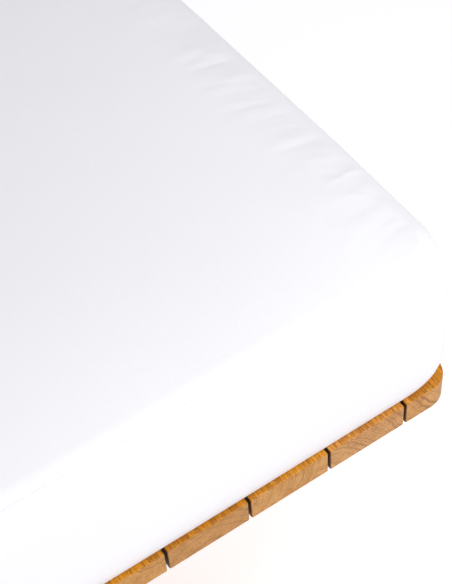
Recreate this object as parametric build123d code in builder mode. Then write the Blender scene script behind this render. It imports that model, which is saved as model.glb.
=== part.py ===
from build123d import *
import os

# Folding massage table: two slatted hardwood halves, each with a thick padded
# cushion in a fitted cotton cover, joined by two butt hinges across the middle.
# Row frame, millimetres: origin on the floor under the middle of the table,
# +X along the table, +Y across it, +Z up. The legs are at their lowest setting.

os.makedirs("parts", exist_ok=True)

# ---------------------------------------------------------------- deck
HALF_L = 940.0  # half length of the whole table
WIDTH = 700.0  # slat length, which is the table's width
PITCH = 60.0  # slat to slat
SLAT_GAP = 1.6  # open joint between two slats
SLAT_T = 20.0  # slat thickness
N_SLATS = 15  # full slats in each half
DECK_TOP = 480.0  # upper face of the slats
ARRIS = 1.1  # eased edges of the slats
END_CORNER_R = 18.0  # rounded outer corners of the end slat
SLAT_W = PITCH - SLAT_GAP
SLAT_Z0 = DECK_TOP - SLAT_T

# ---------------------------------------------------------------- pad
PAD_H = 120.0  # pad with its cover
PAD_LEDGE = 4.3  # strip of deck left bare along each long side
PAD_END = 939.5  # outer end of the pad
PAD_FOLD = 0.75  # half of the joint between the two pads
PAD_CORNER_R = 18.0  # upright corners at the table's end
PAD_FOLD_R = 18.0  # upright corners at the fold
PAD_TOP_R = 16.5  # rounding of the upper edges
CLOTH = 1.0  # cover thickness
EASE = 0.1  # between the foam and its cover
HEM = 32.0  # hem turned under the pad
STRIP_T = CLOTH + EASE  # hook-and-loop strips fill the same gap under the foam

# ---------------------------------------------------------------- frame
RAIL_Z0, RAIL_Z1 = 370.0, SLAT_Z0
RAIL_IN, RAIL_OUT = 253.0, 275.0  # side rail faces, from the middle line
RAIL_END = 918.0  # outer ends of the side rails
FOLD_GAP = 0.3  # half the gap between the two centre rails
CENTRE_T = 30.0
END_T = 40.0
SOCKET_Y, SOCKET_Z = 110.0, 415.0  # face-rest sockets
SOCKET_R, BUSH_R = 9.7, 12.0
BUSH_LIP_R, BUSH_LIP = 16.0, 1.5

# ---------------------------------------------------------------- fold hinges
HINGE_Z = 368.0
HINGE_Y = 180.0
HINGE_W = 80.0
KNUCKLE_R, PIN_R = 4.0, 2.0
KNUCKLES = 5
KNUCKLE_GAP = 0.4
LEAF_T, LEAF_L = 1.6, 26.0
RUN = 0.05  # radial clearance of a turning fit

# ---------------------------------------------------------------- legs
PIVOT_X, PIVOT_Z = 730.0, 430.0
POST_W = 34.0
POST_IN, POST_OUT = 219.0, 243.2
POST_Z0 = 40.0
PIVOT_R = 5.0
BAR_T, BAR_Z0, BAR_Z1 = 22.0, 315.0, 375.0
EXT_W, EXT_IN, EXT_OUT = 30.0, 195.0, 218.3
EXT_Z0, EXT_Z1 = 12.0, 300.0
EXT_SLOT_W, EXT_SLOT_Z0, EXT_SLOT_Z1 = 9.0, 54.0, 286.0
CLAMP_Z, GUIDE_Z, CLAMP_R = 60.0, 100.0, 4.0
FOOT_H, FOOT_WALL = 30.0, 3.0
KNOB_R, KNOB_FACE, KNOB_SHOULDER, KNOB_BACK = 19.0, 171.0, 184.0, 194.5

# ---------------------------------------------------------------- elbow braces
BRACE_X, BRACE_Z = 480.0, 430.0  # upper pivot, on the side rail
BRACE_LEG_Z = 180.0  # lower pivot, on the leg post
ELBOW_X, ELBOW_Z = 605.0, 305.0
LINK_W, LINK_L = 16.0, 176.7767
UPPER_IN, UPPER_OUT = 248.4, 252.4
LOWER_IN, LOWER_OUT = 243.7, 247.7
BRACE_R = 4.0

# ---------------------------------------------------------------- handles, latch
HANDLE_X, HANDLE_Y, HANDLE_Z = 470.0, -285.0, 430.0
HANDLE_ROD, GRIP_R = 3.5, 8.0
HANDLE_ARM, HANDLE_DROP = 44.0, 42.0
EYE_X, EYE_T, EYE_R = 59.0, 14.0, 9.0
LATCH_X, LATCH_Z, LATCH_ARM = -840.0, 400.0, 80.0
BOLT_Z = (390.0, 440.0)  # the two bolts at each corner of a frame
STUD_END = 270.0  # blind end of the brace studs in the side rails
HOOK_Y0, HOOK_Y1 = -279.5, -276.5
PEG_R = 3.0

slat_centres = [(k + 0.5) * PITCH for k in range(N_SLATS)]
end_x0 = N_SLATS * PITCH + SLAT_GAP / 2
RAIL_MID = (RAIL_IN + RAIL_OUT) / 2
screw_x = slat_centres + [910.0]
hinge_screw_x = 18.0
hinge_screw_y = (-28.0, 0.0, 28.0)


def span(f, a, b):
    """Highest y and the thickness of a layer between f*a and f*b."""
    low, high = sorted((f * a, f * b))
    return high, high - low


def save(builder, name):
    builder.part.label = name
    export_step(builder.part, f"parts/{name}.step")


# ================================================================ both halves
for side, s in (("left", -1), ("right", 1)):
    pad_x = s * (PAD_FOLD + PAD_END) / 2
    pad_l = PAD_END - PAD_FOLD
    pad_w = WIDTH - 2 * PAD_LEDGE

    # ---- fitted cotton cover: a thin skin, open below, with its hem turned under
    with BuildPart() as cover_hollow:
        with BuildSketch(Plane.XY.offset(DECK_TOP + CLOTH)) as outline:
            with Locations((pad_x, 0)):
                Rectangle(pad_l - 2 * CLOTH, pad_w - 2 * CLOTH)
            ends = outline.vertices().sort_by(Axis.X)
            outer, inner = (ends[2:], ends[:2]) if s > 0 else (ends[:2], ends[2:])
            fillet(outer, PAD_CORNER_R - CLOTH)
            fillet(inner, PAD_FOLD_R - CLOTH)
        extrude(amount=PAD_H - 2 * CLOTH)
        fillet(cover_hollow.edges().group_by(Axis.Z)[-1], PAD_TOP_R - CLOTH)

    with BuildPart() as fitted_cover:
        with BuildSketch(Plane.XY.offset(DECK_TOP)) as outline:
            with Locations((pad_x, 0)):
                Rectangle(pad_l, pad_w)
            ends = outline.vertices().sort_by(Axis.X)
            outer, inner = (ends[2:], ends[:2]) if s > 0 else (ends[:2], ends[2:])
            fillet(outer, PAD_CORNER_R)
            fillet(inner, PAD_FOLD_R)
        extrude(amount=PAD_H)
        fillet(fitted_cover.edges().group_by(Axis.Z)[-1], PAD_TOP_R)
        add(cover_hollow.part, mode=Mode.SUBTRACT)
        with BuildSketch(Plane.XY.offset(DECK_TOP)):
            with Locations((pad_x, 0)):
                RectangleRounded(pad_l - 2 * HEM, pad_w - 2 * HEM, 10)
        extrude(amount=CLOTH, mode=Mode.SUBTRACT)
    save(fitted_cover, f"{side}_fitted_cover")

    # ---- foam pad inside the cover
    with BuildPart() as foam_pad:
        with BuildSketch(Plane.XY.offset(DECK_TOP + STRIP_T)) as outline:
            with Locations((pad_x, 0)):
                Rectangle(pad_l - 2 * STRIP_T, pad_w - 2 * STRIP_T)
            ends = outline.vertices().sort_by(Axis.X)
            outer, inner = (ends[2:], ends[:2]) if s > 0 else (ends[:2], ends[2:])
            fillet(outer, PAD_CORNER_R - STRIP_T)
            fillet(inner, PAD_FOLD_R - STRIP_T)
        extrude(amount=PAD_H - 2 * STRIP_T)
        fillet(foam_pad.edges().group_by(Axis.Z)[-1], PAD_TOP_R - STRIP_T)
    save(foam_pad, f"{side}_foam_pad")

    # ---- hook-and-loop strips between the foam and the slats
    with BuildPart() as pad_grip_strips:
        with BuildSketch(Plane.XY.offset(DECK_TOP)):
            with Locations(*[(pad_x, y) for y in (-200, 0, 200)]):
                RectangleRounded(820, 40, 4)
        extrude(amount=STRIP_T)
    save(pad_grip_strips, f"{side}_pad_grip_strips")

    # ---- transverse hardwood slats
    with BuildPart() as deck_slats:
        with BuildSketch(Plane.XY.offset(SLAT_Z0)):
            with Locations(*[(s * x, 0) for x in slat_centres]):
                Rectangle(SLAT_W, WIDTH)
        extrude(amount=SLAT_T)
        fillet(deck_slats.edges(), ARRIS)
        with Locations(
            *[(s * x, f * RAIL_MID, DECK_TOP) for x in slat_centres for f in (-1, 1)]
        ):
            CounterSinkHole(2, 4, depth=SLAT_T, counter_sink_angle=90)
    save(deck_slats, f"{side}_deck_slats")

    # ---- narrower end slat with rounded outer corners
    with BuildPart() as end_slat:
        with BuildSketch(Plane.XY.offset(SLAT_Z0)) as outline:
            with Locations((s * (end_x0 + HALF_L) / 2, 0)):
                Rectangle(HALF_L - end_x0, WIDTH)
            ends = outline.vertices().sort_by(Axis.X)
            fillet(ends[2:] if s > 0 else ends[:2], END_CORNER_R)
        extrude(amount=SLAT_T)
        fillet(end_slat.edges(), ARRIS)
        with Locations(*[(s * 910.0, f * RAIL_MID, DECK_TOP) for f in (-1, 1)]):
            CounterSinkHole(2, 4, depth=SLAT_T, counter_sink_angle=90)
    save(end_slat, f"{side}_end_slat")

    # ---- side rails, front and back
    for rail, f in (("front", -1), ("back", 1)):
        high, thick = span(f, RAIL_IN, RAIL_OUT)
        with BuildPart() as side_rail:
            with BuildSketch(Plane.XZ.offset(-high)):
                with Locations((s * (FOLD_GAP + RAIL_END) / 2, (RAIL_Z0 + RAIL_Z1) / 2)):
                    Rectangle(RAIL_END - FOLD_GAP, RAIL_Z1 - RAIL_Z0)
            extrude(amount=thick)
            fillet(
                side_rail.edges().filter_by(Axis.X).group_by(Axis.Z)[0],
                3.0,
            )
            with BuildSketch(Plane.XZ.offset(-high)):
                with Locations((s * PIVOT_X, PIVOT_Z)):
                    Circle(PIVOT_R)
                with Locations(
                    *[(s * x, z) for x in (15.3, 898.0) for z in BOLT_Z]
                ):
                    Circle(3.0)
            extrude(amount=thick, mode=Mode.SUBTRACT)
            with Locations(*[(s * x, f * RAIL_MID, RAIL_Z1 - 6) for x in screw_x]):
                Cylinder(2, 12, mode=Mode.SUBTRACT)
            with Locations((s * BRACE_X, f * (RAIL_IN + STUD_END) / 2, BRACE_Z)):
                Cylinder(
                    BRACE_R, STUD_END - RAIL_IN, rotation=(90, 0, 0), mode=Mode.SUBTRACT
                )
            if f < 0:
                x, z = (LATCH_X, LATCH_Z) if s < 0 else (-LATCH_X, 2 * HINGE_Z - LATCH_Z + LATCH_ARM)
                with Locations((x, -(RAIL_OUT - 6.5), z)):
                    Cylinder(PEG_R, 13, rotation=(90, 0, 0), mode=Mode.SUBTRACT)
        save(side_rail, f"{side}_{rail}_rail")

    # ---- end rail with the two face-rest socket bores
    end_mid = s * (RAIL_END - END_T / 2)
    with BuildPart() as end_rail:
        with BuildSketch(Plane.XY.offset(RAIL_Z0)):
            with Locations((end_mid, 0)):
                Rectangle(END_T, 2 * RAIL_IN)
        extrude(amount=RAIL_Z1 - RAIL_Z0)
        fillet(end_rail.edges().filter_by(Axis.Y).group_by(Axis.Z)[0], 3.0)
        with Locations(*[(end_mid, f * SOCKET_Y, SOCKET_Z) for f in (-1, 1)]):
            Cylinder(BUSH_R, END_T, rotation=(0, 90, 0), mode=Mode.SUBTRACT)
        with Locations(
            *[
                (s * 898.0, f * (RAIL_IN - 19), z)
                for f in (-1, 1)
                for z in BOLT_Z
            ]
        ):
            Cylinder(3.0, 38, rotation=(90, 0, 0), mode=Mode.SUBTRACT)
    save(end_rail, f"{side}_end_rail")

    # ---- centre rail, notched round the hinge knuckles
    centre_mid = s * (FOLD_GAP + CENTRE_T / 2)
    with BuildPart() as centre_rail:
        with BuildSketch(Plane.XY.offset(RAIL_Z0)):
            with Locations((centre_mid, 0)):
                Rectangle(CENTRE_T, 2 * RAIL_IN)
        extrude(amount=RAIL_Z1 - RAIL_Z0)
        with Locations(*[(s * 3.4, f * HINGE_Y, RAIL_Z0 + 2.25) for f in (-1, 1)]):
            Box(6.2, HINGE_W + 8, 4.5, mode=Mode.SUBTRACT)
        with Locations(
            *[
                (s * 15.3, f * (RAIL_IN - 19), z)
                for f in (-1, 1)
                for z in BOLT_Z
            ]
        ):
            Cylinder(3.0, 38, rotation=(90, 0, 0), mode=Mode.SUBTRACT)
        with Locations(
            *[
                (s * hinge_screw_x, f * HINGE_Y + dy, RAIL_Z0 + 9)
                for f in (-1, 1)
                for dy in hinge_screw_y
            ]
        ):
            Cylinder(2, 18, mode=Mode.SUBTRACT)
    save(centre_rail, f"{side}_centre_rail")

    # ---- flanged steel bushes that line the face-rest sockets
    with BuildPart() as socket_bushes:
        for f in (-1, 1):
            with BuildSketch(Plane.YZ.offset(end_mid)):
                with Locations((f * SOCKET_Y, SOCKET_Z)):
                    Circle(BUSH_R)
            extrude(amount=END_T / 2, both=True)
            with BuildSketch(Plane.YZ.offset(s * RAIL_END)):
                with Locations((f * SOCKET_Y, SOCKET_Z)):
                    Circle(BUSH_LIP_R)
            extrude(amount=s * BUSH_LIP)
        fillet(
            socket_bushes.edges()
            .filter_by(GeomType.CIRCLE)
            .filter_by(
                lambda e: e.radius > BUSH_R + 1
                and abs(abs(e.arc_center.X) - RAIL_END - BUSH_LIP) < 0.01
            ),
            0.8,
        )
        with Locations(
            *[(end_mid + s * BUSH_LIP, f * SOCKET_Y, SOCKET_Z) for f in (-1, 1)]
        ):
            Cylinder(SOCKET_R, END_T + 2 * BUSH_LIP, rotation=(0, 90, 0), mode=Mode.SUBTRACT)
    save(socket_bushes, f"{side}_socket_bushes")

    # ---- countersunk wood screws: slats to rails, hinge leaves to centre rail
    with BuildPart() as wood_screws:
        with Locations(*[(s * x, f * RAIL_MID, DECK_TOP - 17) for x in screw_x for f in (-1, 1)]):
            Cylinder(2, 30)
        with Locations(
            *[(s * x, f * RAIL_MID, DECK_TOP - 1.2) for x in screw_x for f in (-1, 1)]
        ):
            Cone(2, 3.6, 1.6)
        hinge_points = [
            (s * hinge_screw_x, f * HINGE_Y + dy) for f in (-1, 1) for dy in hinge_screw_y
        ]
        with Locations(*[(x, y, RAIL_Z0 + 8.5) for x, y in hinge_points]):
            Cylinder(2, 19)
        with Locations(*[(x, y, RAIL_Z0 - LEAF_T / 2) for x, y in hinge_points]):
            Cone(3.6, 2, LEAF_T)
    save(wood_screws, f"{side}_wood_screws")

    # ---- bolts that join the side rails to the end and centre rails
    with BuildPart() as frame_bolts:
        for f in (-1, 1):
            spots = [(s * x, z) for x in (15.3, 898.0) for z in BOLT_Z]
            high, thick = span(f, 215.0, RAIL_OUT)
            with BuildSketch(Plane.XZ.offset(-high)):
                with Locations(*spots):
                    Circle(3.0)
            extrude(amount=thick)
            high, thick = span(f, RAIL_OUT, RAIL_OUT + 4.0)
            with BuildSketch(Plane.XZ.offset(-high)):
                with Locations(*spots):
                    Circle(6.5)
            extrude(amount=thick)
        fillet(
            frame_bolts.edges()
            .filter_by(GeomType.CIRCLE)
            .filter_by(lambda e: e.radius > 6 and abs(e.arc_center.Y) > RAIL_OUT + 3.9),
            1.8,
        )
        for f in (-1, 1):
            high, thick = span(f, RAIL_OUT + 1.8, RAIL_OUT + 4.0)
            with BuildSketch(Plane.XZ.offset(-high)):
                with Locations(*spots):
                    RegularPolygon(2.4, 6)
            extrude(amount=thick, mode=Mode.SUBTRACT)
    save(frame_bolts, f"{side}_frame_bolts")

    # ---- bolts that the legs and the upper braces turn on
    with BuildPart() as pivot_bolts:
        for f in (-1, 1):
            high, thick = span(f, 211.0, RAIL_OUT)
            with BuildSketch(Plane.XZ.offset(-high)):
                with Locations((s * PIVOT_X, PIVOT_Z)):
                    Circle(PIVOT_R)
            extrude(amount=thick)
            high, thick = span(f, 212.0, POST_IN - 0.6)
            with BuildSketch(Plane.XZ.offset(-high)):
                with Locations((s * PIVOT_X, PIVOT_Z)):
                    RegularPolygon(8.5, 6)
            extrude(amount=thick)
            high, thick = span(f, UPPER_IN, STUD_END)
            with BuildSketch(Plane.XZ.offset(-high)):
                with Locations((s * BRACE_X, BRACE_Z)):
                    Circle(BRACE_R)
            extrude(amount=thick)
            high, thick = span(f, RAIL_OUT, RAIL_OUT + 4.5)
            with BuildSketch(Plane.XZ.offset(-high)):
                with Locations((s * PIVOT_X, PIVOT_Z)):
                    Circle(8.5)
            extrude(amount=thick)
        fillet(
            pivot_bolts.edges()
            .filter_by(GeomType.CIRCLE)
            .filter_by(lambda e: e.radius > 6.5 and abs(e.arc_center.Y) > RAIL_OUT + 4.4),
            2.2,
        )
        for f in (-1, 1):
            high, thick = span(f, RAIL_OUT + 2.2, RAIL_OUT + 4.5)
            with BuildSketch(Plane.XZ.offset(-high)):
                with Locations((s * PIVOT_X, PIVOT_Z)):
                    RegularPolygon(2.8, 6)
            extrude(amount=thick, mode=Mode.SUBTRACT)
    save(pivot_bolts, f"{side}_pivot_bolts")

    # ---- hinge leaves: three knuckles on the left half, two on the right
    own = [k for k in range(KNUCKLES) if (k % 2 == 0) == (s < 0)]
    other = [k for k in range(KNUCKLES) if k not in own]
    step = HINGE_W / KNUCKLES
    with BuildPart() as hinge_leaves:
        for f in (-1, 1):
            y0 = f * HINGE_Y - HINGE_W / 2
            with BuildSketch(Plane.XY.offset(RAIL_Z0 - LEAF_T)):
                with Locations((s * (LEAF_L + 1.0) / 2, f * HINGE_Y)):
                    Rectangle(LEAF_L - 1.0, HINGE_W)
            extrude(amount=LEAF_T)
        fillet(
            hinge_leaves.edges()
            .filter_by(Axis.Z)
            .group_by(Axis.X)[-1 if s > 0 else 0],
            4.0,
        )
        with Locations(
            *[
                (0, f * HINGE_Y - HINGE_W / 2 + (k + 0.5) * step, HINGE_Z)
                for f in (-1, 1)
                for k in other
            ]
        ):
            Cylinder(KNUCKLE_R + 0.4, step, rotation=(90, 0, 0), mode=Mode.SUBTRACT)
        with Locations(
            *[
                (0, f * HINGE_Y - HINGE_W / 2 + (k + 0.5) * step, HINGE_Z)
                for f in (-1, 1)
                for k in own
            ]
        ):
            Cylinder(KNUCKLE_R, step - KNUCKLE_GAP, rotation=(90, 0, 0))
        bore = PIN_R if s < 0 else PIN_R + RUN
        with Locations(*[(0, f * HINGE_Y, HINGE_Z) for f in (-1, 1)]):
            Cylinder(bore, HINGE_W + 2, rotation=(90, 0, 0), mode=Mode.SUBTRACT)
        with Locations(
            *[
                (s * hinge_screw_x, f * HINGE_Y + dy, RAIL_Z0 - LEAF_T / 2)
                for f in (-1, 1)
                for dy in hinge_screw_y
            ]
        ):
            Cone(3.6, 2, LEAF_T, mode=Mode.SUBTRACT)
    save(hinge_leaves, f"{side}_hinge_leaves")

    # ---- leg frame: two posts with a rounded top on the pivot bolt
    with BuildPart() as leg_posts:
        for f in (-1, 1):
            high, thick = span(f, POST_IN, POST_OUT)
            with BuildSketch(Plane.XZ.offset(-high)):
                with Locations((s * PIVOT_X, (POST_Z0 + PIVOT_Z) / 2)):
                    Rectangle(POST_W, PIVOT_Z - POST_Z0)
                with Locations((s * PIVOT_X, PIVOT_Z)):
                    Circle(POST_W / 2)
            extrude(amount=thick)
        fillet(leg_posts.edges().filter_by(Axis.Z), 2.5)
        with Locations(*[(s * PIVOT_X, f * (POST_IN + POST_OUT) / 2, PIVOT_Z) for f in (-1, 1)]):
            Cylinder(PIVOT_R + RUN, 30, rotation=(90, 0, 0), mode=Mode.SUBTRACT)
        with Locations(
            *[
                (s * PIVOT_X, f * (POST_IN + POST_OUT) / 2, z)
                for f in (-1, 1)
                for z in (CLAMP_Z, GUIDE_Z)
            ]
        ):
            Cylinder(CLAMP_R, 30, rotation=(90, 0, 0), mode=Mode.SUBTRACT)
        with Locations(*[(s * PIVOT_X, f * (POST_OUT - 9.3), BRACE_LEG_Z) for f in (-1, 1)]):
            Cylinder(BRACE_R + RUN, 18.6, rotation=(90, 0, 0), mode=Mode.SUBTRACT)
        with Locations(
            *[(s * PIVOT_X, f * (POST_IN + 7), (BAR_Z0 + BAR_Z1) / 2) for f in (-1, 1)]
        ):
            Box(12, 14, 44, mode=Mode.SUBTRACT)
    save(leg_posts, f"{side}_leg_posts")

    # ---- crossbar, tenoned into the posts
    with BuildPart() as leg_crossbar:
        with BuildSketch(Plane.YZ.offset(s * PIVOT_X)):
            with Locations((0, (BAR_Z0 + BAR_Z1) / 2)):
                Rectangle(2 * POST_IN, BAR_Z1 - BAR_Z0)
        extrude(amount=BAR_T / 2, both=True)
        fillet(leg_crossbar.edges().filter_by(Axis.Y), 3.0)
        with Locations((s * PIVOT_X, 0, (BAR_Z0 + BAR_Z1) / 2)):
            Box(12, 2 * POST_IN + 28, 44)
    save(leg_crossbar, f"{side}_leg_crossbar")

    # ---- clamp and guide bolts through each post
    with BuildPart() as clamp_bolts:
        for f in (-1, 1):
            high, thick = span(f, 176.0, POST_OUT)
            with BuildSketch(Plane.XZ.offset(-high)):
                with Locations((s * PIVOT_X, CLAMP_Z)):
                    Circle(CLAMP_R)
            extrude(amount=thick)
            high, thick = span(f, 192.0, POST_OUT)
            with BuildSketch(Plane.XZ.offset(-high)):
                with Locations((s * PIVOT_X, GUIDE_Z)):
                    Circle(CLAMP_R)
            extrude(amount=thick)
            high, thick = span(f, 192.0, EXT_IN - 0.5)
            with BuildSketch(Plane.XZ.offset(-high)):
                with Locations((s * PIVOT_X, GUIDE_Z)):
                    Circle(7.5)
            extrude(amount=thick)
            high, thick = span(f, POST_OUT, POST_OUT + 3.0)
            with BuildSketch(Plane.XZ.offset(-high)):
                with Locations((s * PIVOT_X, CLAMP_Z), (s * PIVOT_X, GUIDE_Z)):
                    Circle(8.0)
            extrude(amount=thick)
        fillet(
            clamp_bolts.edges()
            .filter_by(GeomType.CIRCLE)
            .filter_by(lambda e: e.radius > 7.8 and abs(e.arc_center.Y) > POST_OUT + 2.9),
            1.5,
        )
    save(clamp_bolts, f"{side}_clamp_bolts")

    # ---- sliding leg extensions, rubber feet and star knobs
    for leg, f in (("front", -1), ("back", 1)):
        high, thick = span(f, EXT_IN, EXT_OUT)
        with BuildPart() as leg_extension:
            with BuildSketch(Plane.XZ.offset(-high)):
                with Locations((s * PIVOT_X, (EXT_Z0 + EXT_Z1) / 2)):
                    Rectangle(EXT_W, EXT_Z1 - EXT_Z0)
            extrude(amount=thick)
            fillet(leg_extension.edges().group_by(Axis.Z)[-1], 2.0)
            with BuildSketch(Plane.XZ.offset(-high)):
                with Locations((s * PIVOT_X, (EXT_SLOT_Z0 + EXT_SLOT_Z1) / 2)):
                    SlotOverall(EXT_SLOT_Z1 - EXT_SLOT_Z0, EXT_SLOT_W, rotation=90)
            extrude(amount=thick, mode=Mode.SUBTRACT)
        save(leg_extension, f"{side}_{leg}_leg_extension")

        ext_mid = f * (EXT_IN + EXT_OUT) / 2
        ext_t = EXT_OUT - EXT_IN
        with BuildPart() as foot:
            with BuildSketch():
                with Locations((s * PIVOT_X, ext_mid)):
                    RectangleRounded(EXT_W + 2 * FOOT_WALL, ext_t + 2 * FOOT_WALL, 4)
            extrude(amount=FOOT_H)
            fillet(foot.edges().group_by(Axis.Z)[0], 2.0)
            fillet(foot.edges().group_by(Axis.Z)[-1], 1.0)
            with BuildSketch(Plane.XY.offset(EXT_Z0)):
                with Locations((s * PIVOT_X, ext_mid)):
                    Rectangle(EXT_W, ext_t)
            extrude(amount=FOOT_H, mode=Mode.SUBTRACT)
        save(foot, f"{side}_{leg}_foot")

        high, thick = span(f, KNOB_FACE, KNOB_SHOULDER)
        with BuildPart() as knob:
            with BuildSketch(Plane.XZ.offset(-high)) as star:
                with Locations((s * PIVOT_X, CLAMP_Z)):
                    Circle(14.0)
                    with PolarLocations(KNOB_R - 5.6, 6):
                        Circle(5.6)
            extrude(amount=thick)
            fillet(
                knob.edges().filter_by(
                    lambda e: abs(e.center().Y - f * KNOB_FACE) < 0.01
                    or abs(e.center().Y - f * KNOB_SHOULDER) < 0.01
                ),
                1.6,
            )
            high, thick = span(f, KNOB_SHOULDER, KNOB_BACK)
            with BuildSketch(Plane.XZ.offset(-high)):
                with Locations((s * PIVOT_X, CLAMP_Z)):
                    Circle(9.0)
            extrude(amount=thick)
            high, thick = span(f, 175.5, KNOB_BACK)
            with BuildSketch(Plane.XZ.offset(-high)):
                with Locations((s * PIVOT_X, CLAMP_Z)):
                    Circle(CLAMP_R + RUN)
            extrude(amount=thick, mode=Mode.SUBTRACT)
        save(knob, f"{side}_{leg}_knob")

    # ---- elbow braces: upper links on the rails, lower links on the posts
    with BuildPart() as upper_braces:
        for f in (-1, 1):
            high, thick = span(f, UPPER_IN, UPPER_OUT)
            with BuildSketch(Plane.XZ.offset(-high)):
                with Locations((s * (BRACE_X + ELBOW_X) / 2, (BRACE_Z + ELBOW_Z) / 2)):
                    SlotCenterToCenter(LINK_L, LINK_W, rotation=-45 * s)
                with Locations((s * BRACE_X, BRACE_Z), (s * ELBOW_X, ELBOW_Z)):
                    Circle(BRACE_R + RUN, mode=Mode.SUBTRACT)
            extrude(amount=thick)
    save(upper_braces, f"{side}_upper_braces")

    with BuildPart() as lower_braces:
        for f in (-1, 1):
            high, thick = span(f, LOWER_IN, LOWER_OUT)
            with BuildSketch(Plane.XZ.offset(-high)):
                with Locations((s * (PIVOT_X + ELBOW_X) / 2, (BRACE_LEG_Z + ELBOW_Z) / 2)):
                    SlotCenterToCenter(LINK_L, LINK_W, rotation=-45 * s)
                with Locations((s * PIVOT_X, BRACE_LEG_Z), (s * ELBOW_X, ELBOW_Z)):
                    Circle(BRACE_R, mode=Mode.SUBTRACT)
            extrude(amount=thick)
    save(lower_braces, f"{side}_lower_braces")

    # ---- rivets carried by the lower links: leg pivot and elbow
    with BuildPart() as brace_rivets:
        for f in (-1, 1):
            high, thick = span(f, 225.0, LOWER_OUT)
            with BuildSketch(Plane.XZ.offset(-high)):
                with Locations((s * PIVOT_X, BRACE_LEG_Z)):
                    Circle(BRACE_R)
            extrude(amount=thick)
            high, thick = span(f, LOWER_IN, LOWER_OUT)
            with BuildSketch(Plane.XZ.offset(-high)):
                with Locations((s * ELBOW_X, ELBOW_Z)):
                    Circle(BRACE_R)
            extrude(amount=thick)
    save(brace_rivets, f"{side}_brace_rivets")

    # ---- carry handle: a bail with a thick grip, hung in two eye brackets
    hx = s * HANDLE_X
    bar_z = HANDLE_Z - HANDLE_DROP
    with BuildPart() as carry_handle:
        with BuildLine(Plane.XZ.offset(-HANDLE_Y)) as bail:
            FilletPolyline(
                (hx - EYE_X - EYE_T / 2 + 1, HANDLE_Z),
                (hx - HANDLE_ARM, HANDLE_Z),
                (hx - HANDLE_ARM, bar_z),
                (hx + HANDLE_ARM, bar_z),
                (hx + HANDLE_ARM, HANDLE_Z),
                (hx + EYE_X + EYE_T / 2 - 1, HANDLE_Z),
                radius=6.0,
            )
        with BuildSketch(Plane(origin=bail.line @ 0, z_dir=bail.line % 0)):
            Circle(HANDLE_ROD)
        sweep()
        with BuildSketch(Plane.XZ.offset(-HANDLE_Y)):
            with BuildLine():
                Polyline(
                    (hx - 35, bar_z),
                    (hx - 35, bar_z + 5.5),
                    (hx - 33, bar_z + 7.2),
                )
                ThreePointArc(
                    (hx - 33, bar_z + 7.2), (hx, bar_z + GRIP_R), (hx + 33, bar_z + 7.2)
                )
                Polyline(
                    (hx + 33, bar_z + 7.2),
                    (hx + 35, bar_z + 5.5),
                    (hx + 35, bar_z),
                    (hx - 35, bar_z),
                )
            make_face()
        revolve(axis=Axis((hx, HANDLE_Y, bar_z), (1, 0, 0)))
    save(carry_handle, f"{side}_carry_handle")

    with BuildPart() as handle_brackets:
        for d in (-1, 1):
            with BuildSketch(Plane.YZ.offset(hx + d * EYE_X)):
                with Locations(((HANDLE_Y - RAIL_OUT) / 2, HANDLE_Z)):
                    Rectangle(abs(HANDLE_Y) - RAIL_OUT, 2 * EYE_R)
                with Locations((HANDLE_Y, HANDLE_Z)):
                    Circle(EYE_R)
                    Circle(HANDLE_ROD + RUN, mode=Mode.SUBTRACT)
            extrude(amount=EYE_T / 2, both=True)
            with BuildSketch(Plane.XZ.offset(RAIL_OUT)):
                with Locations((hx + d * (EYE_X + 6), HANDLE_Z)):
                    RectangleRounded(36, 28, 4)
            extrude(amount=2.5)
    save(handle_brackets, f"{side}_handle_brackets")

# ================================================================ single pieces
# ---- hinge pins, fixed in the left half's knuckles
with BuildPart() as hinge_pins:
    with Locations(*[(0, f * HINGE_Y, HINGE_Z) for f in (-1, 1)]):
        Cylinder(PIN_R, HINGE_W, rotation=(90, 0, 0))
    with Locations(
        *[(0, f * HINGE_Y + d * (HINGE_W / 2 + 0.8), HINGE_Z) for f in (-1, 1) for d in (-1, 1)]
    ):
        Cylinder(3.2, 1.6, rotation=(90, 0, 0))
save(hinge_pins, "hinge_pins")

# ---- swing hook that holds the folded table shut, on the left front rail
with BuildPart() as latch_hook:
    with BuildSketch(Plane.XZ.offset(-HOOK_Y1)):
        with Locations((LATCH_X + LATCH_ARM / 2, LATCH_Z)):
            Rectangle(LATCH_ARM, 12)
        with Locations((LATCH_X, LATCH_Z)):
            Circle(9.0)
            Circle(PEG_R + RUN, mode=Mode.SUBTRACT)
        with Locations((LATCH_X + LATCH_ARM, LATCH_Z)):
            Circle(11.0)
            Circle(4.2, mode=Mode.SUBTRACT)
        with Locations((LATCH_X + LATCH_ARM, LATCH_Z - 6.0)):
            Rectangle(8.4, 12.0, mode=Mode.SUBTRACT)
    extrude(amount=HOOK_Y1 - HOOK_Y0)
save(latch_hook, "latch_hook")

with BuildPart() as latch_screw:
    with BuildSketch(Plane.XZ.offset(RAIL_OUT - 13)):
        with Locations((LATCH_X, LATCH_Z)):
            Circle(PEG_R)
    extrude(amount=18.2)
    with BuildSketch(Plane.XZ.offset(RAIL_OUT)):
        with Locations((LATCH_X, LATCH_Z)):
            Circle(6.5)
    extrude(amount=1.2)
    with BuildSketch(Plane.XZ.offset(RAIL_OUT + 4.9)):
        with Locations((LATCH_X, LATCH_Z)):
            Circle(6.5)
    extrude(amount=3.0)
    fillet(latch_screw.faces().sort_by(Axis.Y)[0].edges(), 1.8)
save(latch_screw, "latch_screw")

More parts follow.
